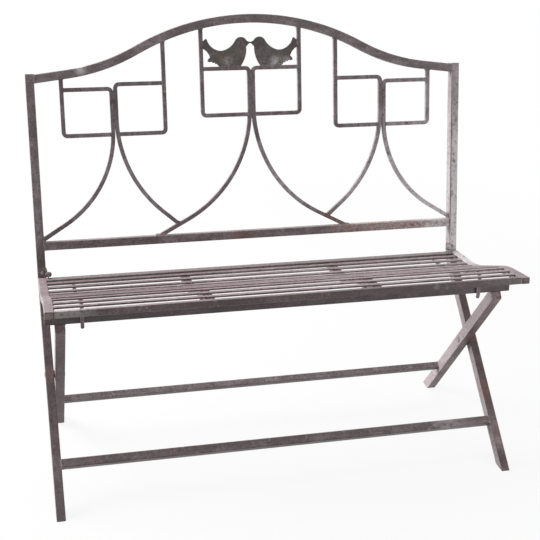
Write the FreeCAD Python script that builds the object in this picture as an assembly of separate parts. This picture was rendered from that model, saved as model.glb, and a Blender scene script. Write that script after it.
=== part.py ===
import FreeCAD, Part
import math
import os

os.makedirs("parts", exist_ok=True)

# Folding metal bench, millimetres.
# +Z up, the front faces -Y, the origin lies on the floor under the middle of the outside box.

# Main sizes of the frame
bench_width = 1060.0
tube = 20.0
post_depth = 25.0
tube_corner = 2.0
bend_height = 385.0
tube_bend_radius = 30.0
back_lean = 11.0
front_leg_lean = 47.4
rear_leg_lean = 38.8
pivot_height = 223.6
leg_gap = 2.0
rear_leg_width = 22.0
rear_leg_depth = 28.0
post_length = 488.5
overrun = 60.0

# Back rails
arch_below_post_top = 1.5
arch_rise = 128.0
arch_start = 6.9
arch_flat = 78.0
arch_crown_share = 0.56
lower_rail_height = 88.0

# Ornament in the back: its bars and the starts of its scrolls lie so far below the arch's ends
rod = 9.5
rod_corner = 1.2
rod_bend_radius = 9.0
motif_pitch = 330.0
motif_reach = 119.5
side_foot_drop = 133.0
centre_foot_drop = 97.0
outer_top_drop = 27.0
inner_top_drop = 17.0
centre_top_rise = 12.5
centre_scroll_drop = 82.0
centre_scroll_radius = 295.0
centre_scroll_turn = 62.6
inner_scroll_drop = 99.0
inner_scroll_radius = 295.0
inner_scroll_turn = 49.0
outer_scroll_drop = 123.0
outer_scroll_radius = 256.0
outer_scroll_turn = 58.5

# Birds
bird_height = 68.0
bird_thickness = 3.0

# Stretchers
front_stretcher_reach = 129.0
rear_stretcher = 16.0
rear_stretcher_height = 90.5

# Crossbar on the rear legs
crossbar_size = 15.0
crossbar_inset = 1.0
crossbar_setback = 10.8
leg_top_chamfer = 14.0
rest_height = 22.5

# Seat
seat_above_bend = 16.5
seat_rear_gap = 9.0
seat_rear_slope = 3.7
seat_rear_run = 83.0
seat_dip_radius = 252.0
seat_dip_turn = 17.7
seat_ramp_run = 110.0
seat_knee_radius = 242.0
seat_knee_turn = 13.7
seat_front_run = 76.0
seat_bar_height = 15.0
front_rail_depth = 12.0
slat_count = 12
slat_width = 12.0
slat_thickness = 4.0
slat_corner = 1.0
seat_fit = 0.1
wide_bearer_place = 185.0
thin_bearer = 8.0
thin_bearer_corner = 3.5
thin_bearer_inset = 60.0

# Hooks at the front ends of the thin bearers
hook_gap = 1.3
hook_bend_radius = 12.0
hook_tip_radius = 8.0
hook_tip_turn = 33.0
hook_tip_run = 1.5
hook_reach_below = 2.0

# Seat pivots: an ear on the post, a lug on the seat's rear rail and a stud through both
seat_pivot_rise = 7.2
seat_pivot_setback = 2.0
stud_radius = 3.0
ear_radius = 6.5
ear_thickness = 3.0
lug_foot = 14.0
stud_head_radius = 5.0
stud_head_height = 2.5
stud_head_round = 1.5
seat_nut_across_flats = 10.0
seat_nut_height = 5.0

# Leg pivots: rivets with low heads and a washer between the legs
rivet_radius = 4.0
rivet_head_radius = 6.5
rivet_head_height = 1.2
rivet_head_round = 0.8
washer_radius = 8.5

# Fits of the pivots and the parts of their nuts
pivot_clearance = 0.05
nut_sides = 6
stud_end_past_nut = 1.5

# Places worked out from the sizes above
half_width = bench_width / 2
inner_half = half_width - tube
half_tube = tube / 2
bar_middle = half_width - half_tube
half_rod = rod / 2
seat_level = bend_height + seat_above_bend

# Headings in a view, turning from its first direction towards its up direction
quarter_turn = 90.0
heading_up = quarter_turn
heading_back = quarter_turn + quarter_turn
heading_down = heading_back + quarter_turn


def tilt(degrees):
    """Unit step (y, z) for a line that leans back by so many degrees from the vertical."""
    angle = math.radians(degrees)
    return math.sin(angle), math.cos(angle)


def slope(degrees):
    """Run over rise of a line that leans by so many degrees from the vertical."""
    return math.tan(math.radians(degrees))


# One half of the arch, from the end of its straight start to the crown
arch_start_turn = math.radians(arch_start)
arch_across = inner_half - arch_flat * math.cos(arch_start_turn)
arch_up = arch_rise - arch_flat * math.sin(arch_start_turn)
arch_shoulder_share = 1 - arch_crown_share


def arch_steepest():
    """Slope where the shoulder's curve runs into the crown's, so that both meet the rise and the span."""
    level = (arch_across * (arch_shoulder_share * math.cos(arch_start_turn) + arch_crown_share)
             + arch_up * arch_shoulder_share * math.sin(arch_start_turn))
    return math.degrees(math.atan2(arch_up, arch_across) + math.acos(level / math.hypot(arch_across, arch_up)))


arch_radii = arch_across / (math.sin(math.radians(arch_steepest())) - arch_shoulder_share * math.sin(arch_start_turn))
arch_height = post_length - arch_below_post_top - half_tube
crown_top = arch_height + arch_rise + half_tube

# The bend's place along Y centres the outside box between the front feet and the crown.
bend_y = (bend_height * slope(front_leg_lean)
          - crown_top * tilt(back_lean)[0] - tube * tilt(back_lean)[1]) / 2


class View:
    """A flat working plane: an origin, a right and an up direction, and the way out of it."""

    def __init__(self, origin, right, up):
        self.origin = origin
        self.right = right
        self.up = up
        self.out = right.cross(up)

    def at(self, right, up, out=0):
        return self.origin + self.right * right + self.up * up + self.out * out

    def way(self, degrees):
        angle = math.radians(degrees)
        return self.right * math.cos(angle) + self.up * math.sin(angle)


X_WAY = FreeCAD.Vector(1, 0, 0)
Y_WAY = FreeCAD.Vector(0, 1, 0)
Z_WAY = FreeCAD.Vector(0, 0, 1)


def side_view(x):
    """The Y-Z plane at a place along X; headings turn from +Y up to +Z."""
    return View(FreeCAD.Vector(x, 0, 0), Y_WAY, Z_WAY)


def slanted_view(y, z, lean):
    """A plane along X that leans back; its up direction follows the lean."""
    step_y, step_z = tilt(lean)
    return View(FreeCAD.Vector(0, y, z), X_WAY, FreeCAD.Vector(0, step_y, step_z))


class Route:
    """A path of straight runs and tangent arcs in a plane."""

    def __init__(self, right, up, heading, shift=0):
        angle = math.radians(heading)
        self.place = (right - shift * math.sin(angle), up + shift * math.cos(angle))
        self.heading = heading
        self.shift = shift
        self.legs = []

    def run(self, length):
        """Goes straight on."""
        angle = math.radians(self.heading)
        start = self.place
        end = (start[0] + length * math.cos(angle), start[1] + length * math.sin(angle))
        self.legs.append((start, None, end))
        self.place = end
        return self

    def turn(self, radius, degrees):
        """Turns left, or right where the angle is negative, about the unshifted radius."""
        side = math.copysign(1, degrees)
        true_radius = radius - side * self.shift
        start = self.place
        middle = self.on_arc(true_radius, side, degrees / 2)
        end = self.on_arc(true_radius, side, degrees)
        self.legs.append((start, middle, end))
        self.place = end
        self.heading += degrees
        return self

    def on_arc(self, radius, side, degrees):
        first = math.radians(self.heading)
        last = math.radians(self.heading + degrees)
        return (self.place[0] + side * radius * (math.sin(last) - math.sin(first)),
                self.place[1] - side * radius * (math.cos(last) - math.cos(first)))

    def wire(self, view):
        edges = []
        for start, middle, end in self.legs:
            if middle is None:
                edges.append(Part.LineSegment(view.at(*start), view.at(*end)).toShape())
            else:
                edges.append(Part.Arc(view.at(*start), view.at(*middle), view.at(*end)).toShape())
        return Part.Wire(edges)


def rounded_section(centre, first, second, wide, deep, corner):
    """A rectangle with round corners, wide along the first direction, deep along the second."""
    edges = []
    diagonal = corner * (1 - math.sqrt(2) / 2)
    half_wide = wide / 2
    half_deep = deep / 2

    def spot(a, b):
        return centre + first * a + second * b

    corners = ((1, 1), (-1, 1), (-1, -1), (1, -1))
    for number, (a, b) in enumerate(corners):
        on_side = spot(a * half_wide, b * (half_deep - corner))
        on_top = spot(a * (half_wide - corner), b * half_deep)
        bulge = spot(a * (half_wide - diagonal), b * (half_deep - diagonal))
        entry, leave = (on_side, on_top) if a * b > 0 else (on_top, on_side)
        edges.append(Part.Arc(entry, bulge, leave).toShape())
        next_a, next_b = corners[(number + 1) % len(corners)]
        if next_a * next_b > 0:
            meet = spot(next_a * half_wide, next_b * (half_deep - corner))
        else:
            meet = spot(next_a * (half_wide - corner), next_b * half_deep)
        edges.append(Part.LineSegment(leave, meet).toShape())
    return Part.Wire(edges)


def bar_along(view, route, start_heading, wide, deep, corner):
    """A bar of rounded section swept along a route; wide is its size out of the plane."""
    spine = route.wire(view)
    start = view.at(*route.legs[0][0])
    section = rounded_section(start, view.out, view.way(start_heading + quarter_turn), wide, deep, corner)
    return spine.makePipeShell([section], True, False)


def cross_piece(view, half_length, wide, deep, corner):
    """A straight bar along X, centred on the view's origin."""
    route = Route(-half_length, 0, 0).run(2 * half_length)
    return bar_along(view, route, 0, wide, deep, corner)


def slab(low, high):
    """A box between two corners, given as (x, y, z)."""
    size = [b - a for a, b in zip(low, high)]
    return Part.makeBox(*size, FreeCAD.Vector(*low))


def largest(shape):
    """The largest solid of a shape that a cut has parted."""
    return max(shape.Solids, key=lambda solid: solid.Volume)


def above_floor(shape):
    """Cuts a leg level with the floor."""
    box = shape.BoundBox
    return largest(shape.common(slab((box.XMin - overrun, box.YMin - overrun, 0),
                                     (box.XMax + overrun, box.YMax + overrun, box.ZMax + overrun))))


def mirrored(shape):
    """The same piece on the other side of the bench."""
    return shape.mirror(FreeCAD.Vector(0, 0, 0), X_WAY)


def along_x(radius, start, end, y, z):
    """A round pin or hole along X."""
    return Part.makeCylinder(radius, end - start, FreeCAD.Vector(start, y, z), X_WAY)


nodes = {}


def pair(name, right_shape):
    """Adds a piece and its mirror image as two nodes."""
    nodes["right_" + name] = right_shape
    nodes["left_" + name] = mirrored(right_shape)


# Planes of the back and of the front legs, half a tube behind the bent bar's front faces
post_step = tilt(back_lean)
leg_step = tilt(front_leg_lean)
rear_step = tilt(-rear_leg_lean)
back_middle_y = bend_y + half_tube * post_step[1]
back_middle_z = bend_height - half_tube * post_step[0]
back_plane = slanted_view(back_middle_y, back_middle_z, back_lean)
front_foot_y = bend_y - bend_height * slope(front_leg_lean)
leg_plane = slanted_view(front_foot_y + half_tube * leg_step[1], -half_tube * leg_step[0], front_leg_lean)

# Corner of the bent bar's centre line
bend_turn = front_leg_lean - back_lean
bend_out = post_depth / 2 / (1 + math.cos(math.radians(bend_turn)))
corner_y = bend_y + bend_out * (post_step[1] + leg_step[1])
corner_z = bend_height - bend_out * (post_step[0] + leg_step[0])
bend_tangent = tube_bend_radius * slope(bend_turn / 2)

# Leg pivot, where the centre lines of the two legs cross
leg_pivot_y = corner_y - (corner_z - pivot_height) * slope(front_leg_lean)
leg_pivot_z = pivot_height

# Rear end of the seat and the seat pivot, just above it and in front of the posts
post_front_y = bend_y + (seat_level - bend_height) * slope(back_lean)
seat_rear_y = post_front_y - seat_rear_gap
seat_pivot_y = seat_rear_y + seat_pivot_setback
seat_pivot_z = seat_level + seat_pivot_rise

# Places of the rear legs along X
rear_outer = inner_half - leg_gap
rear_inner = rear_outer - rear_leg_width
rear_middle = rear_outer - rear_leg_width / 2


def through_hole(radius, y, z):
    """A running hole right through the bench along X."""
    return along_x(radius + pivot_clearance, -half_width - overrun, half_width + overrun, y, z)


leg_hole = through_hole(rivet_radius, leg_pivot_y, leg_pivot_z)
seat_hole = through_hole(stud_radius, seat_pivot_y, seat_pivot_z)

# Back post and front leg, one bent bar on each side
leg_length = (corner_z + overrun) / leg_step[1]
top_length = post_length - (corner_z - bend_height) * post_step[1] - (corner_y - bend_y) * post_step[0]
post_route = Route(corner_y - leg_length * leg_step[0], -overrun, heading_up - front_leg_lean)
post_route.run(leg_length - bend_tangent).turn(tube_bend_radius, bend_turn).run(top_length - bend_tangent)
post = above_floor(bar_along(side_view(bar_middle), post_route, heading_up - front_leg_lean,
                             tube, post_depth, tube_corner))
post = post.cut(leg_hole)
pair("post_leg", post)

# Arched top rail: a raised crown between two reversed shoulders, cut upright at the posts' inner faces
crown_turn = arch_steepest()
shoulder_turn = crown_turn - arch_start
crown_radius = arch_radii * arch_crown_share
shoulder_radius = arch_radii * arch_shoulder_share
arch_route = Route(-inner_half - half_tube * math.cos(arch_start_turn),
                   arch_height - half_tube * math.sin(arch_start_turn), arch_start)
arch_route.run(half_tube + arch_flat).turn(shoulder_radius, shoulder_turn).turn(crown_radius, -crown_turn)
arch_route.turn(crown_radius, -crown_turn).turn(shoulder_radius, shoulder_turn).run(arch_flat + half_tube)
arch = bar_along(back_plane, arch_route, arch_start, tube, tube, tube_corner)
arch_box = arch.BoundBox
arch = largest(arch.common(slab((-inner_half, arch_box.YMin - overrun, arch_box.ZMin - overrun),
                                (inner_half, arch_box.YMax + overrun, arch_box.ZMax + overrun))))
nodes["arched_top_rail"] = arch

# Lower back rail
lower_rail_view = View(back_plane.at(0, lower_rail_height), back_plane.right, back_plane.up)
lower_rail = cross_piece(lower_rail_view, inner_half, tube, tube, tube_corner)
nodes["lower_back_rail"] = lower_rail


def trimmed(bar, *neighbours):
    """A bar cut back to the faces of the pieces that it is welded to."""
    for neighbour in neighbours:
        bar = largest(bar.cut(neighbour))
    return bar


def flipped(shape, motif):
    """The same rod on the other side of a motif."""
    return shape.mirror(FreeCAD.Vector(motif, 0, 0), X_WAY)


def hanger(motif, foot_bar):
    """A rod down from the arch on the right of a motif, with a foot bar to its middle rods."""
    top = arch_height + arch_rise
    route = Route(motif + motif_reach, top, heading_down).run(top - foot_bar - rod_bend_radius)
    route.turn(rod_bend_radius, -quarter_turn).run(motif_reach - rod_bend_radius - rod)
    return bar_along(back_plane, route, heading_down, rod, rod, rod_corner)


def scroll(motif, top_bar, start, radius, turn):
    """A top bar on the right of a motif that turns down its middle and out into a scroll."""
    route = Route(motif + motif_reach - half_rod, top_bar, heading_back)
    route.run(motif_reach - rod - rod_bend_radius).turn(rod_bend_radius, quarter_turn)
    route.run(top_bar - rod_bend_radius - start).turn(radius, turn)
    tail = (route.place[1] - lower_rail_height) / math.cos(math.radians(turn))
    route.run(max(tail, rod))
    return bar_along(back_plane, route, heading_back, rod, rod, rod_corner)


# Scroll rods: the centre pair ends on the lower rail, the inner pair on the centre pair,
# and the outer pair on the posts
centre_top_bar = arch_height + centre_top_rise
centre_scroll = scroll(0, centre_top_bar, arch_height - centre_scroll_drop,
                       centre_scroll_radius, centre_scroll_turn)
centre_scroll = trimmed(centre_scroll, lower_rail)
inner_scroll = scroll(motif_pitch, arch_height - inner_top_drop, arch_height - inner_scroll_drop,
                      inner_scroll_radius, inner_scroll_turn)
inner_scroll = trimmed(flipped(inner_scroll, motif_pitch), centre_scroll)
outer_scroll = scroll(motif_pitch, arch_height - outer_top_drop, arch_height - outer_scroll_drop,
                      outer_scroll_radius, outer_scroll_turn)
outer_scroll = trimmed(outer_scroll, nodes["right_post_leg"], lower_rail)
pair("centre_scroll_rod", centre_scroll)
pair("inner_scroll_rod", inner_scroll)
pair("outer_scroll_rod", outer_scroll)

# Hanger rods, welded to the arch and to the scroll rods
centre_hanger = hanger(0, arch_height - centre_foot_drop)
side_hanger = hanger(motif_pitch, arch_height - side_foot_drop)
pair("centre_hanger_rod", trimmed(centre_hanger, arch, centre_scroll))
pair("inner_hanger_rod", trimmed(flipped(side_hanger, motif_pitch), arch, inner_scroll))
pair("outer_hanger_rod", trimmed(side_hanger, arch, outer_scroll))

# Bird outline, from the beak round the breast, the foot, the tail and the back to the head.
# Each step gives its end, or a point on its arc and its end, as shares of the reach from the
# middle of the bench to the hanger rod and of the bird's height.
bird_start_shares = (0.0, 0.785)
bird_outline_shares = (
    ((0.02, 0.775),),
    ((0.084, 0.67),),
    ((0.11, 0.32), (0.21, 0.0)),
    ((0.66, 0.0),),
    ((0.70, 0.055),),
    ((0.708, 0.095),),
    ((0.745, 0.085),),
    ((0.757, 0.14),),
    ((0.80, 0.125),),
    ((0.817, 0.17),),
    ((0.86, 0.155),),
    ((0.91, 0.185),),
    ((0.895, 0.26),),
    ((0.855, 0.32),),
    ((0.92, 0.52), (1.0, 0.62)),
    ((1.0, 0.87),),
    ((0.935, 0.96),),
    ((0.91, 0.93),),
    ((0.80, 0.65), (0.60, 0.54)),
    ((0.44, 0.65), (0.31, 0.90)),
    ((0.19, 1.0), (0.085, 0.90)),
    ((0.066, 0.862),),
    ((0.03, 0.835),),
    ((0.0, 0.83),),
    ((0.0, 0.785),),
)


def bird():
    """The right hand bird, cut from thin plate, standing on the centre top bar."""
    reach = motif_reach - half_rod
    foot = centre_top_bar + half_rod

    def spot(shares):
        return back_plane.at(shares[0] * reach, foot + shares[1] * bird_height, -bird_thickness / 2)

    edges = []
    here = spot(bird_start_shares)
    for step in bird_outline_shares:
        end = spot(step[-1])
        if len(step) > 1:
            edges.append(Part.Arc(here, spot(step[0]), end).toShape())
        else:
            edges.append(Part.LineSegment(here, end).toShape())
        here = end
    return Part.Face(Part.Wire(edges)).extrude(back_plane.out * bird_thickness)


pair("bird", bird())

# Front stretcher, flush with the front faces of the front legs
stretcher_view = View(leg_plane.at(0, front_stretcher_reach), leg_plane.right, leg_plane.up)
nodes["front_stretcher"] = cross_piece(stretcher_view, inner_half, tube, tube, tube_corner)

# Line of the seat's top, from the rear to the front, and lines a given depth below it
seat_heading = heading_back - seat_rear_slope
dip_length = seat_dip_radius * math.radians(seat_dip_turn)
knee_length = seat_knee_radius * math.radians(seat_knee_turn)
seat_length = seat_rear_run + dip_length + seat_ramp_run + knee_length + seat_front_run


def seat_line(depth, start, end):
    """Part of the seat's line, between two distances from its rear end."""
    route = Route(seat_rear_y, seat_level, seat_heading, depth)
    steps = ((seat_rear_run, 0, 0), (dip_length, seat_dip_radius, -seat_dip_turn), (seat_ramp_run, 0, 0),
             (knee_length, seat_knee_radius, seat_knee_turn), (seat_front_run, 0, 0))
    gone = 0
    for length, radius, turn in steps:
        first = min(max(start - gone, 0), length)
        last = min(max(end - gone, 0), length)
        if first > 0:
            advance(route, first, length, radius, turn)
            route.legs.clear()
        if last > first:
            advance(route, last - first, length, radius, turn)
        gone += length
        if end <= gone:
            break
    return route


def advance(route, distance, length, radius, turn):
    """Goes on by part of one step of the seat's line."""
    if radius:
        route.turn(radius, turn * distance / length)
    else:
        route.run(distance)


def seat_place(distance, depth):
    """A point below the seat's line and the line's heading there."""
    route = seat_line(depth, 0, distance)
    return route.place, route.heading


def seat_bar(middle, depth, start, end, wide, deep, corner):
    """A bar that follows the seat's line, its centre a given depth below it."""
    route = seat_line(depth, start, end)
    entry_heading = seat_place(start, depth)[1] if start > 0 else seat_heading
    return bar_along(side_view(middle), route, entry_heading, wide, deep, corner)


def seat_cross_piece(distance, depth, half_length, wide, deep, corner):
    """A bar across the seat, square to the seat's line."""
    place, heading = seat_place(distance, depth)
    up = side_view(0).way(heading - quarter_turn)
    view = View(FreeCAD.Vector(0, *place), X_WAY, up)
    return cross_piece(view, half_length, wide, deep, corner)


def seat_distance(y, depth):
    """Distance along the seat's line of the point at a given depth that has a given y."""
    low = 0
    high = seat_length
    while high - low > seat_fit / seat_length:
        middle = (low + high) / 2
        if seat_place(middle, depth)[0][0] > y:
            low = middle
        else:
            high = middle
    return low


# Rear legs: the top is cut level under the crossbar, with its front corner taken off
rear_foot_y = leg_pivot_y + pivot_height * slope(rear_leg_lean)
half_crossbar = crossbar_size / 2
bearer_underside = slat_thickness + seat_fit + seat_bar_height


def crossbar_middle(underside):
    """The crossbar's y, on the slant of the rear legs."""
    return rear_foot_y - underside * slope(rear_leg_lean) + crossbar_setback


def crossbar_level():
    """Height of the crossbar's underside that leaves the rest blocks their height."""
    low = pivot_height
    high = seat_level + seat_length
    while high - low > seat_fit / seat_length:
        middle = (low + high) / 2
        distance = seat_distance(crossbar_middle(middle), bearer_underside)
        room = seat_place(distance, bearer_underside)[0][1] - middle - crossbar_size
        if room > rest_height:
            low = middle
        else:
            high = middle
    return low


crossbar_underside = crossbar_level()
crossbar_y = crossbar_middle(crossbar_underside)
crossbar_z = crossbar_underside + half_crossbar
crossbar_front = crossbar_y - half_crossbar
rear_length = (crossbar_underside + overrun) / rear_step[1]
rear_route = Route(rear_foot_y + overrun * slope(rear_leg_lean), -overrun, heading_up + rear_leg_lean)
rear_route.run(overrun / rear_step[1]).run(rear_length)
rear_leg = above_floor(bar_along(side_view(rear_middle), rear_route, heading_up + rear_leg_lean,
                                rear_leg_width, rear_leg_depth, tube_corner))
corner_height = crossbar_underside - leg_top_chamfer
front_corner_y = rear_foot_y - corner_height * slope(rear_leg_lean) - rear_leg_depth / 2 / rear_step[1]


def rear_leg_corner():
    """The wedge cut off the front of a rear leg's top, from its front face to the crossbar."""
    high = crossbar_underside + overrun
    outline = [(front_corner_y, corner_height), (crossbar_front, crossbar_underside), (crossbar_front, high),
               (front_corner_y - overrun, high), (front_corner_y - overrun, corner_height)]
    points = [side_view(0).at(*spot) for spot in outline]
    return Part.Face(Part.makePolygon(points + points[:1])).extrude(X_WAY * half_width)


above_crossbar_foot = slab((0, crossbar_front - overrun, crossbar_underside),
                           (half_width, crossbar_front + overrun, crossbar_underside + overrun + overrun))
rear_leg = trimmed(rear_leg, above_crossbar_foot, rear_leg_corner()).cut(leg_hole)
pair("rear_leg", rear_leg)

# Crossbar on the rear legs
crossbar_view = View(FreeCAD.Vector(0, crossbar_y, crossbar_z), X_WAY, Z_WAY)
nodes["crossbar"] = cross_piece(
    crossbar_view, half_width - crossbar_inset, crossbar_size, crossbar_size, tube_corner)

# Rear stretcher between the rear legs, flush with their rear faces
rear_stretcher_y = rear_foot_y - rear_stretcher_height * slope(rear_leg_lean)
rear_plane = slanted_view(rear_stretcher_y, rear_stretcher_height, -rear_leg_lean)
rear_stretcher_place = rear_plane.at(0, 0, (rear_stretcher - rear_leg_depth) / 2)
rear_stretcher_view = View(rear_stretcher_place, rear_plane.right, rear_plane.up)
nodes["rear_stretcher"] = cross_piece(
    rear_stretcher_view, rear_inner, rear_stretcher, rear_stretcher, rod_corner)

# Seat side bars and the two rails between them
half_bar = seat_bar_height / 2
pair("seat_side_bar", seat_bar(bar_middle, half_bar, 0, seat_length, tube, seat_bar_height, tube_corner))
nodes["seat_rear_rail"] = seat_cross_piece(
    half_tube, half_bar, inner_half, tube, seat_bar_height, tube_corner)
front_rail_place = seat_length - front_rail_depth / 2
nodes["seat_front_rail"] = seat_cross_piece(
    front_rail_place, half_bar, inner_half, front_rail_depth, seat_bar_height, tube_corner)

# Slats, evenly spaced between the rails
slat_pitch = (front_rail_place - half_tube) / (slat_count + 1)
for number in range(slat_count):
    slat = seat_cross_piece(half_tube + slat_pitch * (number + 1), slat_thickness / 2,
                            inner_half, slat_width, slat_thickness, slat_corner)
    nodes["seat_slat_%02d" % (number + 1)] = slat

# Wide bearers under the slats, between the rails
bearer_start = tube
bearer_end = seat_length - front_rail_depth
wide_depth = bearer_underside - half_bar
wide_bearer = seat_bar(
    wide_bearer_place, wide_depth, bearer_start, bearer_end, tube, seat_bar_height, tube_corner)
pair("wide_bearer", wide_bearer)

# Rest blocks: they stand on the crossbar and carry the wide bearers
block_top = crossbar_z + half_crossbar + rest_height + overrun
block = slab((wide_bearer_place - half_tube, crossbar_front, crossbar_z + half_crossbar),
             (wide_bearer_place + half_tube, crossbar_y + half_crossbar, block_top))
block = min(block.cut(wide_bearer).Solids, key=lambda solid: solid.CenterOfMass.z)
pair("rest_block", block)


def hooked_bearer():
    """A thin rod under the slats whose front end bends down in front of the crossbar and under it."""
    depth = slat_thickness + seat_fit + thin_bearer / 2
    drop_y = crossbar_front - hook_gap - thin_bearer / 2
    distance = hook_departure(depth, drop_y)
    route = seat_line(depth, bearer_start, distance)
    route.shift = 0
    route.turn(hook_bend_radius, heading_down - route.heading)
    route.run(route.place[1] - crossbar_underside + hook_reach_below)
    route.turn(hook_tip_radius, hook_tip_turn).run(hook_tip_run)
    start_heading = seat_place(bearer_start, depth)[1]
    return bar_along(side_view(inner_half - thin_bearer_inset), route, start_heading,
                     thin_bearer, thin_bearer, thin_bearer_corner)


def hook_departure(depth, drop_y):
    """Distance along the seat's line where the hook's bend has to start to come down at a place."""
    low = 0
    high = seat_length
    while high - low > seat_fit / seat_length:
        middle = (low + high) / 2
        place, heading = seat_place(middle, depth)
        reach = place[0] - hook_bend_radius * (1 + math.sin(math.radians(heading)))
        if reach > drop_y:
            low = middle
        else:
            high = middle
    return low


pair("hooked_bearer", hooked_bearer())


def plate_outline(view, spots, thickness):
    """A flat plate in the side view with straight edges."""
    points = [view.at(*spot) for spot in spots]
    return Part.Face(Part.makePolygon(points + points[:1])).extrude(X_WAY * thickness)


def post_ear():
    """A flat ear on a post's inner face that reaches forward to the seat pivot."""
    view = side_view(inner_half - ear_thickness)
    weld_y = back_middle_y + (seat_pivot_z - back_middle_z) * slope(back_lean)
    low = seat_pivot_z - ear_radius
    high = seat_pivot_z + ear_radius
    corners = [(seat_pivot_y, low), (weld_y, low), (weld_y, high), (seat_pivot_y, high)]
    strap = plate_outline(view, corners, ear_thickness)
    for y in (seat_pivot_y, weld_y):
        strap = strap.fuse(Part.makeCylinder(ear_radius, ear_thickness, view.at(y, seat_pivot_z), X_WAY))
    return strap.removeSplitter().cut(seat_hole)


def pivot_lug():
    """A flat lug that stands on the rear rail and turns on the seat stud beside the ear."""
    view = side_view(inner_half - ear_thickness - ear_thickness)
    rear = seat_place(0, 0)[0]
    front = seat_place(lug_foot, 0)[0]
    away_y = seat_pivot_y - (rear[0] + front[0]) / 2
    away_z = seat_pivot_z - (rear[1] + front[1]) / 2
    scale = ear_radius / math.hypot(away_y, away_z)
    spots = [rear, (seat_pivot_y + away_z * scale, seat_pivot_z - away_y * scale),
             (seat_pivot_y - away_z * scale, seat_pivot_z + away_y * scale), front]
    plate = plate_outline(view, spots, ear_thickness)
    eye = Part.makeCylinder(ear_radius, ear_thickness, view.at(seat_pivot_y, seat_pivot_z), X_WAY)
    return plate.fuse(eye).removeSplitter().cut(nodes["seat_rear_rail"]).cut(seat_hole)


pair("post_ear", post_ear())
pair("pivot_lug", pivot_lug())


def round_head(radius, height, rounding, face, way, y, z):
    """A low round head on a face across X, its outer rim rounded."""
    cap = along_x(radius, min(face, face + way * height), max(face, face + way * height), y, z)
    rim = max(cap.Edges, key=lambda edge: edge.CenterOfMass.x * way)
    return cap.makeFillet(rounding, [rim])


def hex_nut(across, height, radius, outer_face, y, z):
    """A nut on a bolt's inner end, its hole clear of the bolt."""
    reach = across / 2 / math.cos(math.pi / nut_sides)
    view = side_view(outer_face - height)
    angles = [2 * math.pi * number / nut_sides for number in range(nut_sides)]
    spots = [(y + reach * math.cos(angle), z + reach * math.sin(angle)) for angle in angles]
    body = plate_outline(view, spots, height)
    return body.cut(through_hole(radius, y, z))


def both_sides(shape):
    """Two separate solids, one on each side."""
    return Part.makeCompound([shape, mirrored(shape)])


# Studs and nuts of the seat pivots
stud_nut_face = inner_half - ear_thickness - ear_thickness
stud_end = stud_nut_face - seat_nut_height - stud_end_past_nut
stud_head = round_head(stud_head_radius, stud_head_height, stud_head_round, inner_half, 1,
                       seat_pivot_y, seat_pivot_z)
stud = along_x(stud_radius, stud_end, inner_half, seat_pivot_y, seat_pivot_z).fuse(stud_head)
nodes["seat_pivot_studs"] = both_sides(stud.removeSplitter())
nodes["seat_pivot_nuts"] = both_sides(
    hex_nut(seat_nut_across_flats, seat_nut_height, stud_radius, stud_nut_face, seat_pivot_y, seat_pivot_z))

# Rivets and spacer washers of the leg pivots
rivet = along_x(rivet_radius, rear_inner, half_width, leg_pivot_y, leg_pivot_z)
for face, way in ((half_width, 1), (rear_inner, -1)):
    head = round_head(rivet_head_radius, rivet_head_height, rivet_head_round, face, way,
                      leg_pivot_y, leg_pivot_z)
    rivet = rivet.fuse(head)
nodes["leg_pivot_rivets"] = both_sides(rivet.removeSplitter())
washer = along_x(washer_radius, rear_outer, inner_half, leg_pivot_y, leg_pivot_z).cut(leg_hole)
nodes["leg_pivot_washers"] = both_sides(washer)

for name, shape in nodes.items():
    shape.exportStep(os.path.join("parts", name + ".step"))
    print(name, len(shape.Solids), shape.isValid(), round(shape.Volume))
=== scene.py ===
import math
import random

import bmesh
import bpy
from mathutils import Matrix, Vector


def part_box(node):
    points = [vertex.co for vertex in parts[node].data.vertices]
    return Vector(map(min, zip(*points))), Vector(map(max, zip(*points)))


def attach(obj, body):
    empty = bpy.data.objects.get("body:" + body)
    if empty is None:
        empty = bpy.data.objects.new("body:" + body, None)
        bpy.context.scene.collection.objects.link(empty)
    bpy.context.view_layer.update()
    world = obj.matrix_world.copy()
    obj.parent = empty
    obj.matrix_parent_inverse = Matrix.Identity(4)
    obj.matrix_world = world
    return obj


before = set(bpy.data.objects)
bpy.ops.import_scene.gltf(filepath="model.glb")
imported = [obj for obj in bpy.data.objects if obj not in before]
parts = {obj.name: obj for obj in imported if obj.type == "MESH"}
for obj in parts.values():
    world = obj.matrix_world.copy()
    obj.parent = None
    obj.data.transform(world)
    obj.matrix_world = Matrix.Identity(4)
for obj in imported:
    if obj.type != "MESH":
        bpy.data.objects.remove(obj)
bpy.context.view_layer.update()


# Back posts and front legs: two 25 x 20 mm steel tubes, each bent once a little below the seat.
# Brushed grey oil paint over steel, left outdoors for years: cloudy and streaked along the tube, rubbed
# pale on its corners, with rust where water sits at the joints. Its pale chalky patches are partly painted
# light.
def linear(code):
    """A colour written as sRGB hex, for a shader socket."""
    shares = [int(code[place:place + 2], 16) / 255 for place in (0, 2, 4)]
    return [v / 12.92 if v <= 0.04045 else ((v + 0.055) / 1.055) ** 2.4 for v in shares] + [1.0]


def add(tree, kind, inputs, out=0, stops=(), **settings):
    """Adds one node, sets its properties, fills or links its inputs, and gives back one output."""
    node = tree.nodes.new(kind)
    for name, value in settings.items():
        setattr(node, name, value)
    for name, value in inputs.items():
        if isinstance(value, bpy.types.NodeSocket):
            tree.links.new(value, node.inputs[name])
        else:
            node.inputs[name].default_value = value
    for number, (place, code) in enumerate(stops):
        if number >= len(node.color_ramp.elements):
            node.color_ramp.elements.new(place)
        node.color_ramp.elements[number].position = place
        node.color_ramp.elements[number].color = linear(code)
    return node.outputs[out] if node.outputs else node


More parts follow.
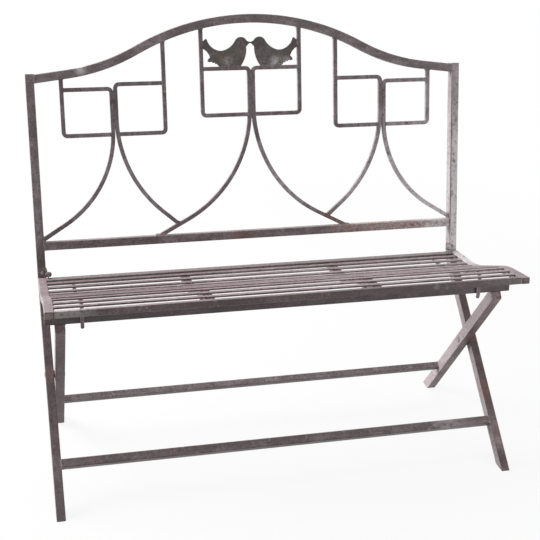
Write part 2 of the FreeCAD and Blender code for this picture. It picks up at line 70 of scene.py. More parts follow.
def patches(tree, spot, grain, places, low, high):
    """How much of the surface is taken near each place (x, y, z, reach, amount), broken up by the grain."""
    taken = 0.0
    for x, y, z, reach, amount in places:
        gap = add(tree, "ShaderNodeVectorMath", {0: spot, 1: (x, y, z)}, 1, operation="DISTANCE")
        near = add(tree, "ShaderNodeMapRange", {"Value": gap, "From Min": reach, "From Max": 0.15 * reach,
                                                "To Max": amount}, interpolation_type="SMOOTHSTEP")
        taken = add(tree, "ShaderNodeMath", {0: taken, 1: near}, operation="MAXIMUM")
    broken = add(tree, "ShaderNodeMapRange", {"Value": grain, "From Min": low, "From Max": high},
                 interpolation_type="SMOOTHSTEP")
    return add(tree, "ShaderNodeMath", {0: taken, 1: broken}, operation="MULTIPLY")


def old_paint(name, dark, middle, light, brushed, top_dust_and_light=0.3, side_highlight=0.35, specks=0.5, scuffs=0.6,
              chalk_and_light=(), grime_and_shade=(), rust=(), moss=(), corner=None):
    """Old brushed oil paint on steel. Brushed is how fast the brush marks change along x, y and z.

    The places for chalk also paint light, and those for grime also paint shade; rust and moss are places too.
    Dust also paints light on what faces up, sun paints a highlight on the sides facing the left lamp, and
    corner is the x of a corner beside which a line of painted shade runs.
    """
    material = bpy.data.materials.new(name)
    material.use_nodes = True
    tree = material.node_tree
    tree.nodes.clear()
    spot = add(tree, "ShaderNodeTexCoord", {}, "Object")
    normal = add(tree, "ShaderNodeTexCoord", {}, "Normal")
    # clouds about 50 mm across, where the brush left more or less paint, and streaks along the bar
    cloud = add(tree, "ShaderNodeTexNoise", {"Vector": spot, "Scale": 21.0, "Detail": 6.0, "Roughness": 0.68})
    along = add(tree, "ShaderNodeMapping", {"Vector": spot, "Scale": brushed})
    streak = add(tree, "ShaderNodeTexNoise", {"Vector": along, "Scale": 1.0, "Detail": 4.0, "Roughness": 0.6})
    mixed = add(tree, "ShaderNodeMix", {0: 0.42, 2: cloud, 3: streak}, 0, data_type="FLOAT")
    base = add(tree, "ShaderNodeValToRGB", {"Fac": mixed},
               stops=((0.38, dark), (0.50, middle), (0.63, light)))
    # grain of the brush and of wind-blown dirt, about 3 mm
    speck = add(tree, "ShaderNodeTexNoise", {"Vector": spot, "Scale": 330.0, "Detail": 2.0, "Roughness": 0.7})
    speck = add(tree, "ShaderNodeMapRange", {"Value": speck, "From Min": 0.30, "From Max": 0.70,
                                             "To Min": 0.66, "To Max": 1.34})
    base = add(tree, "ShaderNodeMix", {0: 1.0, 6: base, 7: speck}, 2, data_type="RGBA", blend_type="MULTIPLY")
    # pale chalky scuffs of about 10 mm
    scuff = add(tree, "ShaderNodeTexNoise", {"Vector": spot, "Scale": 95.0, "Detail": 4.0, "Roughness": 0.7,
                                             "Distortion": 0.4})
    bare = add(tree, "ShaderNodeMapRange", {"Value": scuff, "From Min": 0.55, "From Max": 0.70,
                                            "To Max": scuffs}, interpolation_type="SMOOTHSTEP")
    base = add(tree, "ShaderNodeMix", {0: bare, 6: base, 7: linear("c6b6bb")}, 2, data_type="RGBA")
    # dust on what faces up, with some painted light there too, and a painted highlight on the sides that face
    # the left lamp
    up = add(tree, "ShaderNodeSeparateXYZ", {"Vector": normal}, "Z")
    top_dust_and_light_share = add(tree, "ShaderNodeMapRange", {"Value": up, "From Min": 0.55, "From Max": 0.95,
                                              "To Max": top_dust_and_light}, interpolation_type="SMOOTHSTEP")
    base = add(tree, "ShaderNodeMix", {0: top_dust_and_light_share, 6: base, 7: linear("cebbc0")}, 2, data_type="RGBA")
    sideways = add(tree, "ShaderNodeSeparateXYZ", {"Vector": normal}, "X")
    lamp_facing = add(tree, "ShaderNodeMapRange", {"Value": sideways, "From Min": -0.60, "From Max": -0.95},
                interpolation_type="SMOOTHSTEP")
    painted_side_light = add(tree, "ShaderNodeMath", {0: lamp_facing, 1: side_highlight}, operation="MULTIPLY")
    base = add(tree, "ShaderNodeMix", {0: painted_side_light, 6: base, 7: linear("d6cacd")}, 2, data_type="RGBA")
    # soot and soil, and painted shade, that darken whole stretches, only on faces turned away from the left
    # lamp
    grime_and_shade_share = patches(tree, spot, scuff, grime_and_shade, 0.20, 0.40)
    shaded = add(tree, "ShaderNodeMath", {0: 1.0, 1: lamp_facing}, operation="SUBTRACT")
    grime_and_shade_share = add(tree, "ShaderNodeMath", {0: grime_and_shade_share, 1: shaded}, operation="MULTIPLY")
    base = add(tree, "ShaderNodeMix", {0: grime_and_shade_share, 6: base, 7: linear("907d7c")}, 2, data_type="RGBA",
               blend_type="MULTIPLY")
    # chalky paint, and painted light near the right post, ragged along the streaks and weaker on the sides
    # that face the left lamp
    ragged = add(tree, "ShaderNodeMix", {0: 0.5, 2: scuff, 3: streak}, 0, data_type="FLOAT")
    chalk_and_light_share = patches(tree, spot, ragged, chalk_and_light, 0.36, 0.50)
    weaker_on_lamp_side = add(tree, "ShaderNodeMapRange", {"Value": lamp_facing, "To Min": 1.0, "To Max": 0.25})
    chalk_and_light_share = add(tree, "ShaderNodeMath", {0: chalk_and_light_share, 1: weaker_on_lamp_side}, operation="MULTIPLY")
    base = add(tree, "ShaderNodeMix", {0: chalk_and_light_share, 6: base, 7: linear("f2ebed")}, 2, data_type="RGBA")
    # a line of painted shade about 3 mm wide, down the shaded side of one corner above the seat
    if corner is not None:
        across = add(tree, "ShaderNodeSeparateXYZ", {"Vector": spot}, "X")
        beside = add(tree, "ShaderNodeMapRange",
                     {"Value": across, "From Min": corner + 0.0040, "From Max": corner + 0.0018},
                     interpolation_type="SMOOTHSTEP")
        beside = add(tree, "ShaderNodeMath", {0: beside, 1: shaded}, operation="MULTIPLY")
        inside = add(tree, "ShaderNodeMath", {0: across, 1: corner - 0.001}, operation="GREATER_THAN")
        line = patches(tree, spot, scuff, [(corner, 0.175, 0.600, 0.330, 0.85)], 0.30, 0.45)
        line = add(tree, "ShaderNodeMath", {0: line, 1: beside}, operation="MULTIPLY")
        line = add(tree, "ShaderNodeMath", {0: line, 1: inside}, operation="MULTIPLY")
        base = add(tree, "ShaderNodeMix", {0: line, 6: base, 7: linear("5c4f4f")}, 2, data_type="RGBA")
    # dark lichen and dirt in spots of 3 to 8 mm
    mottle = add(tree, "ShaderNodeTexNoise", {"Vector": spot, "Scale": 150.0, "Detail": 3.0,
                                              "Roughness": 0.62})
    dirt = add(tree, "ShaderNodeMapRange", {"Value": mottle, "From Min": 0.53, "From Max": 0.66,
                                            "To Max": specks}, interpolation_type="SMOOTHSTEP")
    kept = add(tree, "ShaderNodeMapRange", {"Value": chalk_and_light_share, "To Min": 1.0, "To Max": 0.6})
    dirt = add(tree, "ShaderNodeMath", {0: dirt, 1: kept}, operation="MULTIPLY")
    base = add(tree, "ShaderNodeMix", {0: dirt, 6: base, 7: linear("403a37")}, 2, data_type="RGBA")
    # corners rubbed to pale primer
    soft = add(tree, "ShaderNodeBevel", {"Radius": 0.0016}, samples=6)
    sharp = add(tree, "ShaderNodeNewGeometry", {}, "Normal")
    same = add(tree, "ShaderNodeVectorMath", {0: soft, 1: sharp}, 1, operation="DOT_PRODUCT")
    edge = add(tree, "ShaderNodeMapRange", {"Value": same, "From Min": 0.985, "From Max": 0.90},
               interpolation_type="SMOOTHSTEP")
    worn = add(tree, "ShaderNodeMapRange", {"Value": scuff, "From Min": 0.42, "From Max": 0.60,
                                            "To Max": 0.55}, interpolation_type="SMOOTHSTEP")
    rub = add(tree, "ShaderNodeMath", {0: edge, 1: worn}, operation="MULTIPLY")
    base = add(tree, "ShaderNodeMix", {0: rub, 6: base, 7: linear("cdc3c6")}, 2, data_type="RGBA")
    # rust at the joints and in a few small spots of its own, rough and brown
    grain = add(tree, "ShaderNodeTexNoise", {"Vector": spot, "Scale": 260.0, "Detail": 4.0,
                                             "Roughness": 0.75})
    lone = add(tree, "ShaderNodeTexNoise", {"Vector": spot, "Scale": 34.0, "Detail": 6.0, "Roughness": 0.8})
    lone = add(tree, "ShaderNodeMapRange", {"Value": lone, "From Min": 0.68, "From Max": 0.78},
               interpolation_type="SMOOTHSTEP")
    joint = patches(tree, spot, grain, rust, 0.40, 0.58)
    rusty = add(tree, "ShaderNodeMath", {0: lone, 1: joint}, operation="MAXIMUM")
    rust_tone = add(tree, "ShaderNodeValToRGB", {"Fac": grain},
                    stops=((0.35, "5a3d33"), (0.55, "9a6b58"), (0.75, "c48f70")))
    most = add(tree, "ShaderNodeMath", {0: rusty, 1: 0.8}, operation="MULTIPLY")
    base = add(tree, "ShaderNodeMix", {0: most, 6: base, 7: rust_tone}, 2, data_type="RGBA")
    # olive moss
    mossy = patches(tree, spot, mottle, moss, 0.40, 0.55)
    base = add(tree, "ShaderNodeMix", {0: mossy, 6: base, 7: linear("756a48")}, 2, data_type="RGBA")
    # brush marks and pitting, and a satin skin that rust and chalk leave rough
    pits = add(tree, "ShaderNodeTexNoise", {"Vector": spot, "Scale": 420.0, "Detail": 3.0, "Roughness": 0.6})
    marks = add(tree, "ShaderNodeMath", {0: streak, 1: 0.8}, operation="MULTIPLY")
    height = add(tree, "ShaderNodeMath", {0: pits, 1: 0.4, 2: marks}, operation="MULTIPLY_ADD")
    bump = add(tree, "ShaderNodeBump", {"Strength": 0.4, "Distance": 0.0008, "Height": height})
    satin = add(tree, "ShaderNodeMapRange", {"Value": scuff, "From Min": 0.3, "From Max": 0.7,
                                             "To Min": 0.34, "To Max": 0.56})
    dull = add(tree, "ShaderNodeMath", {0: rusty, 1: chalk_and_light_share}, operation="MAXIMUM")
    rough = add(tree, "ShaderNodeMix", {0: dull, 2: satin, 3: 0.85}, 0, data_type="FLOAT")
    skin = add(tree, "ShaderNodeBsdfPrincipled", {"Base Color": base, "Roughness": rough, "Normal": bump})
    add(tree, "ShaderNodeOutputMaterial", {"Surface": skin})
    return material


def paint(material, *names):
    """Puts one paint on every material slot of the named nodes."""
    for name in names:
        for slot in parts[name].material_slots:
            slot.material = material


pivot_low, pivot_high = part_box("leg_pivot_rivets")
leg_pivot = (pivot_low + pivot_high) / 2
# the chalk low on the right post's front is painted light; the grime low on the legs is dirt and painted
# shade; sun paints a highlight on their left-facing sides, and the corner gives a line of painted shade on
# the right post
post_chalk_and_light = [(0.52, 0.150, 0.435, 0.075, 1.0), (0.52, 0.160, 0.510, 0.160, 1.0),
              (0.52, 0.180, 0.610, 0.260, 0.95), (0.52, 0.220, 0.800, 0.200, 0.35)]
post_grime_and_shade = [(side * 0.52, -0.040 - step * 0.080, 0.240 - step * 0.075, 0.190, amount)
              for side, amount in ((-1, 0.75), (1, 0.9)) for step in (-1, 0, 1)]
post_grime_and_shade += [(-0.52, -0.230, 0.030, 0.160, 0.7), (0.52, -0.250, 0.010, 0.060, 0.9),
               (-0.52, 0.140, 0.390, 0.120, 0.6)]
post_rust = [(side * 0.52, leg_pivot.y, leg_pivot.z, 0.030, 0.45) for side in (-1, 1)]
post_rust += [(side * 0.512, 0.150, 0.392, 0.024, 0.8) for side in (-1, 1)]
post_rust += [(0.51, -0.130, 0.140, 0.040, 0.5), (0.51, -0.200, 0.050, 0.050, 0.35)]
post_paint = old_paint("old_brushed_oil_paint_on_posts", "67595c", "837679", "a99a9f", (75.0, 75.0, 9.0),
                       side_highlight=0.5, chalk_and_light=post_chalk_and_light, grime_and_shade=post_grime_and_shade, rust=post_rust, corner=0.510)
paint(post_paint, "left_post_leg", "right_post_leg")


# Arched top rail and straight lower rail of the back: 20 mm square tube, the arch bent cold over
# a former, both welded between the posts. The lower rail rusts where rain gathers on its right half.
rail_rust = [(0.290, 0.158, 0.464, 0.110, 1.0), (0.240, 0.156, 0.460, 0.080, 1.0),
             (0.400, 0.158, 0.468, 0.070, 0.9), (0.350, 0.156, 0.458, 0.080, 0.9),
             (-0.03, 0.158, 0.468, 0.050, 0.8), (0.505, 0.168, 0.472, 0.020, 0.6)]
# the chalky patches at the right end of the lower rail are painted light
rail_chalk_and_light = [(0.47, 0.160, 0.470, 0.190, 0.8), (-0.404, 0.240, 0.872, 0.020, 0.9),
              (0.32, 0.160, 0.470, 0.170, 0.6)]
rail_paint = old_paint("old_brushed_oil_paint_on_back_rails", "66585b", "7f7275", "a09297", (9.0, 75.0, 75.0),
                       chalk_and_light=rail_chalk_and_light, rust=rail_rust)
paint(rail_paint, "arched_top_rail", "lower_back_rail")


# Hanger rods and scroll rods: 9.5 mm square bar bent over formers and welded into the back.
# The thin bars hold less dirt on their fronts, and rust starts at their welds.
rod_rust = [(0.190, 0.170, 0.505, 0.026, 0.8), (0.225, 0.168, 0.482, 0.026, 0.8),
            (-0.225, 0.168, 0.482, 0.015, 0.5)]
# the chalk on the right-hand rods is mostly painted light
rod_chalk_and_light = [(0.460, 0.180, 0.540, 0.220, 0.8), (0.400, 0.200, 0.640, 0.170, 0.6),
             (0.280, 0.185, 0.560, 0.120, 0.5), (0.090, 0.190, 0.600, 0.150, 0.35),
             (0.440, 0.230, 0.780, 0.120, 0.3), (-0.300, 0.200, 0.600, 0.200, 0.15)]
rod_paint = old_paint("old_brushed_oil_paint_on_rods", "5e5053", "786a6e", "998b90", (60.0, 60.0, 30.0),
                      top_dust_and_light=0.25, specks=0.6, chalk_and_light=rod_chalk_and_light, rust=rod_rust)
paint(rod_paint, *[name for name in parts if name.endswith("_rod")])


# Two birds cut from 3 mm plate, painted with the back and welded on the middle scrolls' top bars.
# Rain stays in their flat faces, so they have gone olive and blotchy, with pale lichen at the feet.
bird_paint = old_paint("mossy_oil_paint_on_birds", "47403d", "5c5350", "7a7071", (45.0, 45.0, 45.0),
                       top_dust_and_light=0.2, specks=0.75, scuffs=0.35,
                       chalk_and_light=[(0.062, 0.246, 0.874, 0.024, 0.6), (0.088, 0.246, 0.880, 0.016, 0.4),
                              (-0.055, 0.246, 0.880, 0.016, 0.4)],
                       moss=[(-0.065, 0.247, 0.895, 0.040, 0.35), (0.075, 0.247, 0.885, 0.022, 0.3)])
paint(bird_paint, "left_bird", "right_bird")


# Welds of the back: short arc-welded runs in every corner, each a row of overlapping ripples.
# They were painted over with the frame, but the paint is thin there and shows rust and dark pinholes.
hand = random.Random(7)
lean = math.radians(11.0)
back_up = Vector((0, math.sin(lean), math.cos(lean)))
back_out = Vector((0, -math.cos(lean), math.sin(lean)))


def on_back(x, height, out):
    """A point of the leaning back: x, height along the post above its bend, and how far in front."""
    return Vector((x, 0.15067, 0.38309)) + back_up * height + back_out * out


def bead(mesh, start, end, outward, width, rise):
    """One run of weld from start to end: lens-shaped ripples that stand out of a face."""
    outward = outward.normalized()
    along = (end - start).normalized()
    across = outward.cross(along)
    count = max(2, round((end - start).length / (0.5 * width)) + 1)
    run = bmesh.new()
    for number in range(count):
        swell = hand.uniform(0.78, 1.15)
        sizes = (along * 0.4 * width, across * 0.5 * width * swell, outward * rise * swell)
        centre = start.lerp(end, number / (count - 1)) + across * hand.uniform(-0.1, 0.1) * width
        bmesh.ops.create_uvsphere(run, u_segments=10, v_segments=6, radius=1.0,
                                  matrix=Matrix.Translation(centre) @ Matrix(sizes).transposed().to_4x4())
    data = bpy.data.meshes.new("run")
    run.to_mesh(data)
    run.free()
    mesh.from_mesh(data)
    bpy.data.meshes.remove(data)


def finished(name, mesh, material, body):
    """Makes a smooth piece from a bmesh and lets it move with a body."""
    data = bpy.data.meshes.new(name)
    mesh.to_mesh(data)
    mesh.free()
    data.polygons.foreach_set("use_smooth", [True] * len(data.polygons))
    data.materials.append(material)
    piece = bpy.data.objects.new(name, data)
    bpy.context.scene.collection.objects.link(piece)
    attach(piece, body)
    return piece


weld_paint = old_paint("thin_oil_paint_on_welds", "564946", "7d7073", "b0a5a8", (120.0, 120.0, 120.0),
                       top_dust_and_light=0.3, specks=0.8,
                       rust=[(0.19, 0.17, 0.5, 0.04, 0.8), (0.51, 0.15, 0.40, 0.05, 0.6)])
rail_face = 0.010
rod_face = 0.00475
hanger_face = rod_face + 0.0006
plate_face = 0.0015
# each run: the face it lies on, x and height of its start and of its end, its width and its rise
face_runs = [
    # arch and lower rail to the post
    (rail_face, 0.5100, 0.4690, 0.5100, 0.4845, 0.0055, 0.0016),
    (rail_face, 0.5100, 0.0790, 0.5100, 0.0970, 0.0050, 0.0013)]
# hangers to the arch, then the foot bars and top bars to the upright rods
face_runs += [(hanger_face, x - 0.004, height, x + 0.004, height, 0.0042, 0.0018)
              for x, height in ((0.1195, 0.5819), (0.2105, 0.5553), (0.4495, 0.4744))]
face_runs += [(rod_face, x, height - 0.0036, x, height + 0.0036, 0.0040, 0.0010)
              for x, height in ((0.0095, 0.3800), (0.1148, 0.4895), (0.3200, 0.3440), (0.2152, 0.4600),
                                (0.3395, 0.3440), (0.4448, 0.4500))]
face_runs += [
    # paired uprights
    (rod_face, 0.3300, 0.4260, 0.3300, 0.4380, 0.0036, 0.0009),
    (rod_face, 0.3300, 0.3790, 0.3300, 0.3860, 0.0036, 0.0009),
    # ends of the scrolls on the lower rail, on each other and on the post
    (rod_face, 0.2215, 0.0990, 0.2420, 0.0990, 0.0045, 0.0018),
    (rod_face, 0.1850, 0.1275, 0.1930, 0.1215, 0.0045, 0.0014),
    (rod_face, 0.5095, 0.0990, 0.5095, 0.1090, 0.0050, 0.0018),
    # the birds' feet and tails
    (plate_face, 0.0300, 0.4945, 0.0440, 0.4945, 0.0040, 0.0016),
    (plate_face, 0.0600, 0.4945, 0.0720, 0.4945, 0.0040, 0.0016),
    (plate_face, 0.1148, 0.5370, 0.1148, 0.5510, 0.0040, 0.0016)]
welds = bmesh.new()
for side in (-1, 1):
    for face in (-1, 1):
        for out, x, height, end_x, end_height, width, rise in face_runs:
            bead(welds, on_back(side * x, height, face * out), on_back(side * end_x, end_height, face * out),
                 face * back_out, width, rise)
    # run over the top of the corner, and the blob that was left on the post above the seat's pivot
    bead(welds, on_back(side * 0.510, 0.4868, 0.007), on_back(side * 0.510, 0.4868, -0.007),
         back_up, 0.0055, 0.0012)
    bead(welds, on_back(side * 0.5165, 0.0245, rail_face), on_back(side * 0.5185, 0.0265, rail_face),
         back_out, 0.0088, 0.0026)
    # ear of the seat's pivot
    bead(welds, Vector((side * 0.5095, 0.1470, 0.4155)), Vector((side * 0.5095, 0.1610, 0.4150)),
         Vector((-side, 0, 1)), 0.0042, 0.0016)
for face in (-1, 1):
    out = face * rod_face
    bead(welds, on_back(0, 0.462, out), on_back(0, 0.476, out), face * back_out, 0.0036, 0.0009)
    bead(welds, on_back(0, 0.397, out), on_back(0, 0.404, out), face * back_out, 0.0036, 0.0009)
finished("back_welds", welds, weld_paint, "back_frame")


# Front stretcher: 20 mm square tube, turned with the slope of the front legs and welded between
# them close to the ground, where boots have scuffed it.
# the grime along the front stretcher is dirt and painted shade
stretcher_paint = old_paint("scuffed_oil_paint_on_stretchers", "544a4c", "6c6163", "8f8488",
                            (9.0, 75.0, 75.0), specks=0.6, scuffs=0.65,
                            chalk_and_light=[(0.400, -0.180, 0.085, 0.060, 0.3)],
                            grime_and_shade=[(step * 0.20, -0.176, 0.080, 0.220, 0.45) for step in range(-2, 3)],
                            rust=[(0.505, -0.18, 0.08, 0.030, 0.4)])
paint(stretcher_paint, "front_stretcher", "rear_stretcher")
leg_lean = math.radians(47.4)
leg_up = Vector((0, math.sin(leg_lean), math.cos(leg_lean)))
leg_out = Vector((0, -math.cos(leg_lean), math.sin(leg_lean)))
welds = bmesh.new()
for side in (-1, 1):
    for face in (-1, 1):
        middle = Vector((side * 0.510, -0.1761, 0.07995)) + face * rail_face * leg_out
        bead(welds, middle - 0.008 * leg_up, middle + 0.008 * leg_up, face * leg_out, 0.0050, 0.0013)
finished("front_stretcher_welds", welds, weld_paint, "back_frame")


# Rear legs: two straight 28 x 22 mm tubes with a chamfered top, joined by a thin crossbar on which the
# seat rests and a stretcher low down. The crossbar is a 15 mm tube laid on the legs and welded there.
# sun paints a highlight on the rear legs' left-facing sides; their grime is dirt and painted shade
rear_paint = old_paint("old_brushed_oil_paint_on_rear_legs", "765f62", "947b7e", "b49ba0", (60.0, 40.0, 14.0),
                       side_highlight=0.70,
                       rust=[(side * 0.50, leg_pivot.y, leg_pivot.z, 0.028, 0.4) for side in (-1, 1)],
                       grime_and_shade=[(-0.50, -0.05, 0.30, 0.260, 1.0), (-0.50, 0.08, 0.12, 0.260, 1.0),
                              (0.50, -0.05, 0.30, 0.260, 0.7), (0.50, 0.08, 0.12, 0.200, 0.4)])
paint(rear_paint, "left_rear_leg", "right_rear_leg")
# the very dark paint under the seat is painted shade there as well as soot
dark_paint_for_shade_under_seat = old_paint("oil_paint_darkened_for_shade_under_the_seat", "41373a", "4f4447", "685c60", (9.0, 60.0, 60.0),
                           specks=0.4, scuffs=0.2)
paint(dark_paint_for_shade_under_seat, "crossbar")
rear_lean = math.radians(38.8)
rear_up = Vector((0, -math.sin(rear_lean), math.cos(rear_lean)))
rear_out = Vector((0, math.cos(rear_lean), math.sin(rear_lean)))
rear_middle = sum(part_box("rear_stretcher"), Vector()) / 2
welds = bmesh.new()
for side in (-1, 1):
    for face in (-1, 1):
        middle = Vector((side * 0.486, rear_middle.y, rear_middle.z)) + face * 0.0080 * rear_out
        bead(welds, middle - 0.006 * rear_up, middle + 0.006 * rear_up, face * rear_out, 0.0045, 0.0012)
    bead(welds, Vector((side * 0.489, -0.1537, 0.4174)), Vector((side * 0.505, -0.1537, 0.4174)),
         Vector((0, 1, 0.3)), 0.0045, 0.0016)
    bead(welds, Vector((side * 0.4858, -0.1665, 0.4170)), Vector((side * 0.4858, -0.1590, 0.4170)),
         Vector((-side, 0, -1)), 0.0042, 0.0014)
finished("rear_leg_welds", welds, weld_paint, "rear_legs")


# Seat frame: two tubes bent to the line of the seat, a rear rail and a front rail between them, two
# wide bearers, and two thin rods whose hooked ends reach round the crossbar. All brushed like the back.
# the chalk at the rear of the right side bar is painted light
side_paint = old_paint("old_brushed_oil_paint_on_seat_sides", "625457", "7b6c70", "95868b",
                       (40.0, 10.0, 40.0), top_dust_and_light=0.25, specks=0.5, scuffs=0.4,
                       chalk_and_light=[(0.520, 0.080, 0.400, 0.170, 0.9)],
                       rust=[(side * 0.510, 0.125, 0.395, 0.022, 0.6) for side in (-1, 1)])
paint(side_paint, "left_seat_side_bar", "right_seat_side_bar")
# the grime along the front rail is dirt and painted shade
seat_paint = old_paint("old_brushed_oil_paint_on_seat_rails", "584a4b", "6c5d5e", "867678",
                       (10.0, 40.0, 60.0), top_dust_and_light=0.35, specks=0.6, scuffs=0.3,
                       moss=[(0.470, -0.225, 0.492, 0.016, 0.7)],
                       chalk_and_light=[(0.31, -0.258, 0.483, 0.011, 0.22), (0.335, -0.258, 0.479, 0.008, 0.18),
                              (-0.49, -0.257, 0.480, 0.090, 0.3)],
                       grime_and_shade=[(0.30, -0.256, 0.480, 0.400, 0.8), (-0.10, -0.256, 0.480, 0.250, 0.4)])
paint(seat_paint, "seat_front_rail", "seat_rear_rail")
# the bearers and rest blocks under the seat take the dark paint that stands for its shade
paint(dark_paint_for_shade_under_seat, "left_wide_bearer", "right_wide_bearer", "left_rest_block", "right_rest_block")
paint(side_paint, "left_hooked_bearer", "right_hooked_bearer")
welds = bmesh.new()
# under the side bars' ends, under the wide bearers' ends and under the hooked bearers' rear ends
under_runs = (((0.510, -0.2450, 0.4740), (0.510, -0.2560, 0.4745), 0.0045),
              ((0.510, 0.1165, 0.3870), (0.510, 0.1330, 0.3870), 0.0045),
              ((0.177, -0.2455, 0.4740), (0.193, -0.2455, 0.4740), 0.0045),
              ((0.177, 0.1145, 0.3880), (0.193, 0.1145, 0.3880), 0.0045),
              ((0.447, 0.1142, 0.3905), (0.453, 0.1142, 0.3905), 0.0042))
for side in (-1, 1):
    for (x, y, z), (end_x, end_y, end_z), width in under_runs:
        bead(welds, Vector((side * x, y, z)), Vector((side * end_x, end_y, end_z)), Vector((0, 0, -1)),
             width, 0.0014)
    # pivot lugs on the rear rail
    bead(welds, Vector((side * 0.5055, 0.1225, 0.4025)), Vector((side * 0.5055, 0.1315, 0.4025)),
         Vector((-side, 0, 0.5)), 0.0036, 0.0014)
    # rest blocks under the wide bearers, before and behind
    for y, z, outward in ((-0.1690, 0.4575, -1), (-0.1538, 0.4530, 1)):
        bead(welds, Vector((side * 0.177, y, z)), Vector((side * 0.193, y, z)), Vector((0, outward, 0)),
             0.0040, 0.0014)
finished("seat_welds", welds, weld_paint, "seat")


# End caps of the two side bars: small steel plates with round corners, pressed into the open ends of
# the tubes. They stand 0.7 mm proud and are painted with the seat, a little browner than the tube.
# the grime on the right front cap is dirt and painted shade
cap_paint = old_paint("browned_oil_paint_on_end_caps", "74625d", "8f7c77", "aa9792", (60.0, 60.0, 60.0),
                      specks=0.5, grime_and_shade=[(0.52, -0.258, 0.481, 0.040, 1.0)])
# middle of each open end, and the way that it faces
open_ends = (((0.52, -0.25807, 0.48109), (0, -0.991, 0.134)),
             ((0.52, 0.13458, 0.39402), (0, 0.998, -0.065)))
caps = bmesh.new()
for side in (-1, 1):
    for end, outward in open_ends:
        made = bmesh.ops.create_cube(caps, size=1.0)["verts"]
        bmesh.ops.scale(caps, vec=(0.0172, 0.0122, 0.0014), verts=made)
        upright = [edge for edge in {e for v in made for e in v.link_edges}
                   if abs((edge.verts[0].co - edge.verts[1].co).z) > 0.001]
        bmesh.ops.bevel(caps, geom=upright, offset=0.0032, offset_type="OFFSET", segments=5, affect="EDGES",
                        profile=0.5, material=-1)
        fresh = [vert for vert in caps.verts if not vert.tag]
        rim = [edge for edge in {e for v in fresh for e in v.link_edges}
               if min(v.co.z for v in edge.verts) > 0.0005]
        bmesh.ops.bevel(caps, geom=rim, offset=0.0005, offset_type="OFFSET", segments=2, affect="EDGES",
                        profile=0.5, material=-1)
        fresh = [vert for vert in caps.verts if not vert.tag]
        outward = Vector(outward)
        turned = Matrix((Vector((1, 0, 0)), outward.cross(Vector((1, 0, 0))), outward)).transposed()
        bmesh.ops.transform(caps, verts=fresh,
                            matrix=Matrix.Translation((side * end[0], end[1], end[2])) @ turned.to_4x4())
        for vert in fresh:
            vert.tag = True
finished("side_bar_end_caps", caps, cap_paint, "seat")


# Twelve seat slats: 12 x 4 mm flat bar laid across and tacked to the side bars from below. Clothes and
# rain have rubbed their tops to a pale pinkish grey, streaked along the bar, with dark dirt between.
slats = [name for name in parts if name.startswith("seat_slat")]
# on the slats the chalk at the right is partly painted light and the grime at the left partly painted shade
slat_paint = old_paint("rubbed_oil_paint_on_slats", "624f52", "7f686d", "a69096", (6.0, 130.0, 130.0),
                       top_dust_and_light=0.25, specks=0.65, grime_and_shade=[(-0.45, -0.05, 0.44, 0.400, 0.35)],
                       chalk_and_light=[(0.20, -0.05, 0.44, 0.350, 0.14), (0.48, -0.05, 0.44, 0.350, 0.16)],
                       moss=[(0.455, -0.215, 0.492, 0.020, 0.6), (-0.25, 0.10, 0.40, 0.020, 0.5)])
paint(slat_paint, *slats)
welds = bmesh.new()
for name in slats:
    low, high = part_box(name)
    middle = (low.y + high.y) / 2
    for side, end in ((-1, low.x), (1, high.x)):
        x = end - side * 0.0005
        bead(welds, Vector((x, middle - 0.002, low.z)), Vector((x, middle + 0.002, low.z)),
             Vector((-side, 0, -1)), 0.0040, 0.0014)
finished("slat_welds", welds, weld_paint, "seat")


# Pivots: steel ears and lugs with a headed stud and nut each side of the seat, and a domed rivet with
# a washer where the legs cross. Turning has worn their paint off, so they are dark, brown and rusty.
pivot_paint = old_paint("rust_and_paint_on_pivots", "3d3432", "574c4b", "7d7271", (90.0, 90.0, 90.0),
                        top_dust_and_light=0.1, specks=0.8, chalk_and_light=[(0.506, 0.140, 0.410, 0.022, 0.75)],
                        rust=[(0.512, 0.137, 0.409, 0.009, 0.9), (-0.504, 0.137, 0.409, 0.006, 0.6)])
paint(pivot_paint, "left_post_ear", "right_post_ear", "left_pivot_lug", "right_pivot_lug",
      "seat_pivot_studs", "seat_pivot_nuts", "leg_pivot_washers")
paint(post_paint, "leg_pivot_rivets")


# Floor and surround: a plain pale studio floor and white all round. What the camera and the gloss see
# is white; round the bench the floor is also a pale matt board that keeps its shadow.
mesh = bmesh.new()
bmesh.ops.create_circle(mesh, cap_ends=True, segments=96, radius=9.0)
data = bpy.data.meshes.new("floor")
mesh.to_mesh(data)
mesh.free()
floor = bpy.data.objects.new("floor", data)
bpy.context.scene.collection.objects.link(floor)
board = bpy.data.materials.new("pale_studio_board")
board.use_nodes = True
tree = board.node_tree
tree.nodes.clear()
white = add(tree, "ShaderNodeEmission", {"Color": linear("ffffff"), "Strength": 1.0})
seen = add(tree, "ShaderNodeLightPath", {}, "Is Camera Ray")
for ray in ("Is Glossy Ray", "Is Transmission Ray"):
    other = add(tree, "ShaderNodeLightPath", {}, ray)
    seen = add(tree, "ShaderNodeMath", {0: seen, 1: other}, operation="MAXIMUM")
tone = add(tree, "ShaderNodeMix", {0: seen, 6: linear("8c8c8c"), 7: linear("f2f2f2")}, 2, data_type="RGBA")
matt = add(tree, "ShaderNodeBsdfDiffuse", {"Color": tone})
spot = add(tree, "ShaderNodeTexCoord", {}, "Object")
away = add(tree, "ShaderNodeVectorMath", {0: spot}, 1, operation="LENGTH")
share = add(tree, "ShaderNodeMapRange", {"Value": away, "From Min": 0.9, "From Max": 2.6,
                                         "To Min": 0.87, "To Max": 1.0}, interpolation_type="SMOOTHSTEP")
seen = add(tree, "ShaderNodeMath", {0: seen, 1: share}, operation="MULTIPLY")
mixed = add(tree, "ShaderNodeMixShader", {0: seen, 1: matt, 2: white})
add(tree, "ShaderNodeOutputMaterial", {"Surface": mixed})
data.materials.append(board)

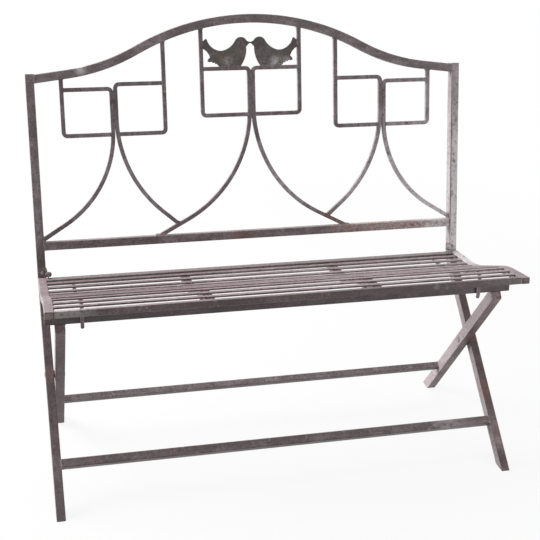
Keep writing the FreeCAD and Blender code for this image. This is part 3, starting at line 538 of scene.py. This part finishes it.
world = bpy.data.worlds.new("studio")
bpy.context.scene.world = world
world.use_nodes = True
tree = world.node_tree
tree.nodes.clear()
seen = add(tree, "ShaderNodeLightPath", {}, "Is Camera Ray")
for ray in ("Is Glossy Ray", "Is Transmission Ray"):
    other = add(tree, "ShaderNodeLightPath", {}, ray)
    seen = add(tree, "ShaderNodeMath", {0: seen, 1: other}, operation="MAXIMUM")
strength = add(tree, "ShaderNodeMapRange", {"Value": seen, "To Min": 0.40, "To Max": 1.0})
sky = add(tree, "ShaderNodeBackground", {"Color": linear("ffffff"), "Strength": strength})
add(tree, "ShaderNodeOutputWorld", {"Surface": sky})


# Light: a large softbox at the left and a little behind, which catches the tops and the left sides of
# the tubes and leaves their fronts in shade, a weak one overhead and a small one low at the right.
def softbox(name, place, target, width, height, power):
    lamp = bpy.data.lights.new(name, "AREA")
    lamp.shape = "RECTANGLE"
    lamp.size = width
    lamp.size_y = height
    lamp.energy = power
    holder = bpy.data.objects.new(name, lamp)
    bpy.context.scene.collection.objects.link(holder)
    holder.location = place
    holder.rotation_euler = (Vector(target) - Vector(place)).to_track_quat("-Z", "Y").to_euler()
    holder.visible_camera = False


softbox("left_softbox", (-3.3, 1.5, 2.0), (0.3, 0.0, 0.5), 2.8, 2.2, 190)
softbox("overhead_softbox", (0.0, 1.0, 2.9), (0, 0.1, 0.4), 2.4, 1.8, 26)
softbox("low_right_softbox", (1.3, -1.5, 0.45), (0.5, 0.1, 0.5), 0.5, 0.5, 6)


# Camera: the photograph's own place and lens, worked out from the straight bars. Its focal length and
# the point where its axis meets the picture are in pixels of the photograph, which is 540 wide and high.
picture, focal_length, axis_x, axis_y = 540, 1096.329, 260.303, 275.534
yaw, pitch, roll = 0.238, -0.394, 0.024
ahead = Vector((math.sin(yaw) * math.cos(pitch), math.cos(yaw) * math.cos(pitch), math.sin(pitch)))
right = Vector((math.cos(yaw), -math.sin(yaw), 0))
up = right.cross(ahead)
right, up = (math.cos(roll) * right + math.sin(roll) * up, math.cos(roll) * up - math.sin(roll) * right)
lens = bpy.data.cameras.new("camera")
lens.sensor_width = 36
lens.lens = 36 * focal_length / picture
lens.shift_x = (picture / 2 - axis_x) / picture
lens.shift_y = (axis_y - picture / 2) / picture
camera = bpy.data.objects.new("camera", lens)
bpy.context.scene.collection.objects.link(camera)
turned = Matrix((right, up, -ahead)).transposed()
camera.matrix_world = Matrix.Translation((-0.5817, -2.3027, 1.4122)) @ turned.to_4x4()
bpy.context.scene.camera = camera
bpy.context.scene.view_settings.view_transform = "Standard"
